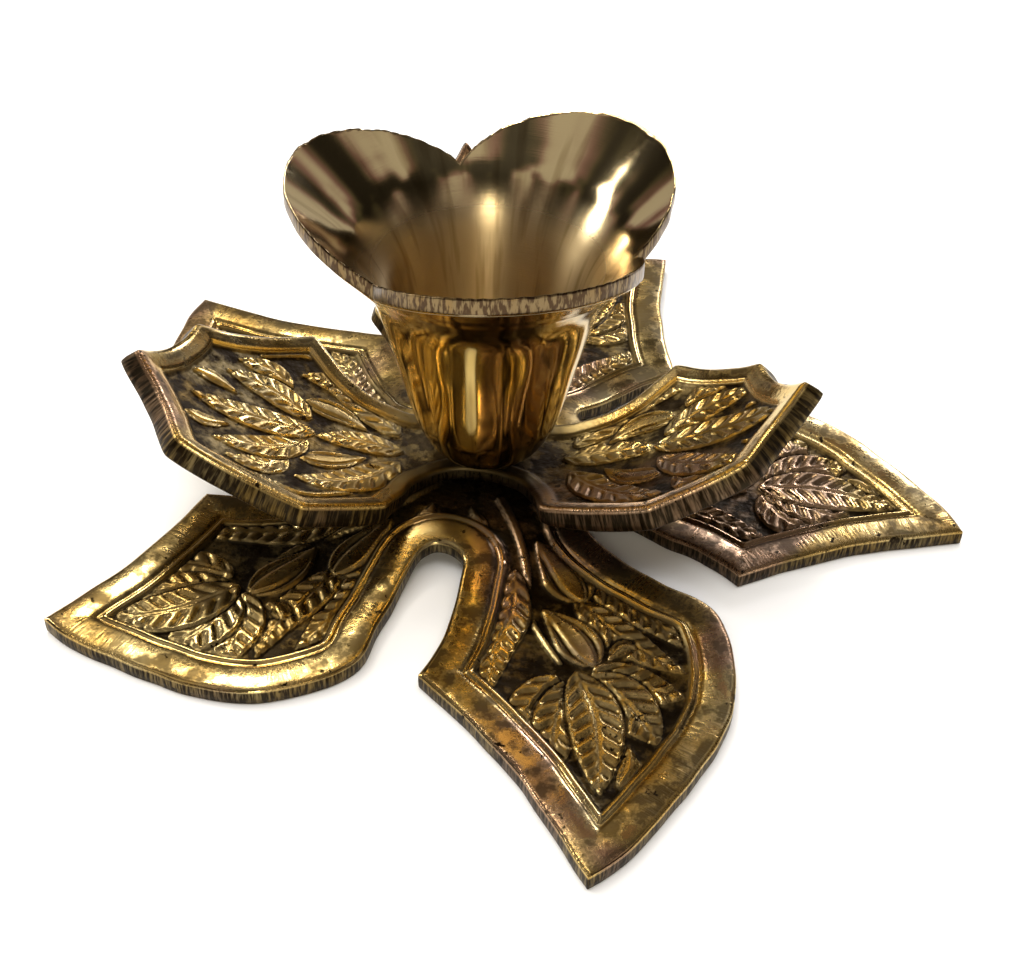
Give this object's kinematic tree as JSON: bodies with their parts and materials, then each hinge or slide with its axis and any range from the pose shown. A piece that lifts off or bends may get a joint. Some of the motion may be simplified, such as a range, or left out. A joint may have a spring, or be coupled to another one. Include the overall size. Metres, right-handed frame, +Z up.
{
  "type": "oil lamp",
  "caption": "Flower-shaped brass oil lamp: a tulip cup with a lobed rim, screwed down on two cast plates of engraved leaves.",
  "frame": {"origin": "where the centre stud's axis meets the table the lamp stands on", "axes": "+Z up along the centre stud, -Y towards the leaf that points forward"},
  "size_m": [0.1411, 0.1499, 0.0567],
  "materials": {
    "cast_brass": "cast and chased, dark in the recesses, rubbed bright on the high parts",
    "turned_brass": "turned and polished outside, satin turned inside",
    "bar_brass": "machined, unpolished",
    "spring_bronze": "rolled, dull"
  },
  "bodies": {
    "base": {"lower_leaf_plate": "cast_brass", "centre_stud": "bar_brass", "hex_nut": "bar_brass", "spring_washer": "spring_bronze"},
    "upper_leaves": {"upper_leaf_plate": "cast_brass"},
    "seat": {"seat_washer": "bar_brass"},
    "cup": {"oil_cup": "turned_brass"}
  },
  "joints": [
    {"name": "upper_leaves_swivel", "type": "hinge", "parent": "base", "child": "upper_leaves", "pos_m": [0, 0, 0], "axis": [0, 0, 1], "continuous": true},
    {"name": "cup_turn", "type": "hinge", "parent": "base", "child": "seat", "pos_m": [0, 0, 0], "axis": [0, 0, 1], "range_deg": [0, 1800]},
    {"name": "cup_lift", "type": "slide", "parent": "seat", "child": "cup", "axis": [0, 0, 1], "range_m": [0, 0.00401]}
  ],
  "couplings": [
    {"joint": "cup_lift", "follows": "cup_turn", "m_per_rad": 0.00012732}
  ]
}
